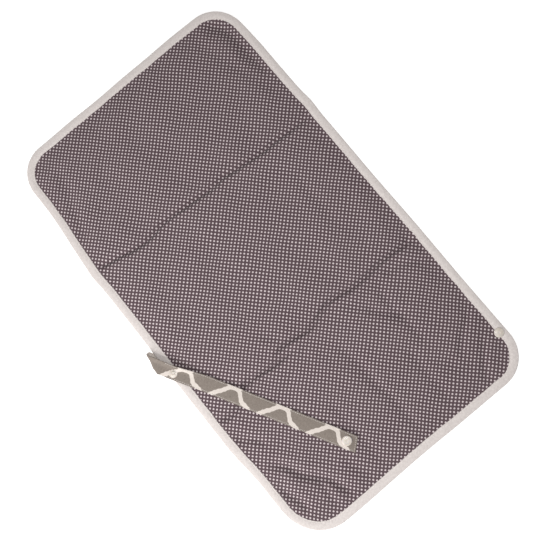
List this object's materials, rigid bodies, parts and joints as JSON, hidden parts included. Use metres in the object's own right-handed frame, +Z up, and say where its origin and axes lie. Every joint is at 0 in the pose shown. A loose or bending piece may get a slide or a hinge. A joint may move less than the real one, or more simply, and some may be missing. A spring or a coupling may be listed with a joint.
{
  "type": "changing pad",
  "caption": "Folding padded changing pad with bound rounded edges, a dotted top, and a printed snap strap that holds it shut when folded.",
  "frame": {"origin": "middle of the pad's flat underside, where it rests, with the pad lying open", "axes": "+X across the pad away from the strap, +Y along the pad to the head end, +Z up out of the dotted side"},
  "size_m": [0.3692, 0.61, 0.0113],
  "materials": {
    "dotted_cotton": "woven cotton printed with small pale pin dots on plum brown",
    "printed_cotton": "woven cotton, taupe with a cream wavy trellis line",
    "bias_tape": "off-white cotton bias tape",
    "padding": "white polyester wadding",
    "waterproof_liner": "white laminated film cloth",
    "thread": "off-white sewing thread",
    "snap_plastic": "smooth cream moulded plastic"
  },
  "bodies": {
    "middle": {"top_cover_middle": "dotted_cotton", "padding_middle": "padding", "liner_middle": "waterproof_liner", "back_cover_middle": "printed_cotton", "binding_left": "bias_tape", "binding_right": "bias_tape", "binding_stitching_middle": "thread", "strap_root": "printed_cotton", "strap_bar_tack": "thread", "strap_bend": "printed_cotton"},
    "head": {"top_cover_head": "dotted_cotton", "padding_head": "padding", "liner_head": "waterproof_liner", "back_cover_head": "printed_cotton", "binding_head": "bias_tape", "binding_stitching_head": "thread"},
    "foot": {"top_cover_foot": "dotted_cotton", "padding_foot": "padding", "liner_foot": "waterproof_liner", "back_cover_foot": "printed_cotton", "binding_foot": "bias_tape", "binding_stitching_foot": "thread", "corner_snap_cap": "snap_plastic", "corner_snap_stud": "snap_plastic"},
    "strap": {"strap_band": "printed_cotton", "strap_band_stitching": "thread", "root_snap_cap": "snap_plastic", "root_snap_stud": "snap_plastic"},
    "strap_tail": {"strap_end": "printed_cotton", "strap_end_stitching": "thread", "end_snap_cap": "snap_plastic", "end_snap_socket": "snap_plastic"}
  },
  "joints": [
    {"name": "head_fold", "type": "hinge", "parent": "middle", "child": "head", "pos_m": [0, 0.115, 0.01455], "axis": [1, 0, 0], "range_deg": [0, 179.8]},
    {"name": "foot_fold", "type": "hinge", "parent": "middle", "child": "foot", "pos_m": [0, -0.101, 0.0108], "axis": [-1, 0, 0], "range_deg": [0, 179.8]},
    {"name": "strap_flip", "type": "hinge", "parent": "middle", "child": "strap", "pos_m": [-0.1842, -0.0114, 0.00565], "axis": [0.2334, 0.9724, 0], "range_deg": [-179.8, 0], "deforming": ["strap_bend"]},
    {"name": "strap_end_fold", "type": "hinge", "parent": "strap", "child": "strap_tail", "pos_m": [-0.134, -0.101, 0.0108], "axis": [-1, 0, 0], "range_deg": [0, 179.8]}
  ],
  "couplings": [
    {"joint": "strap_end_fold", "follows": "foot_fold", "ratio": 1}
  ]
}
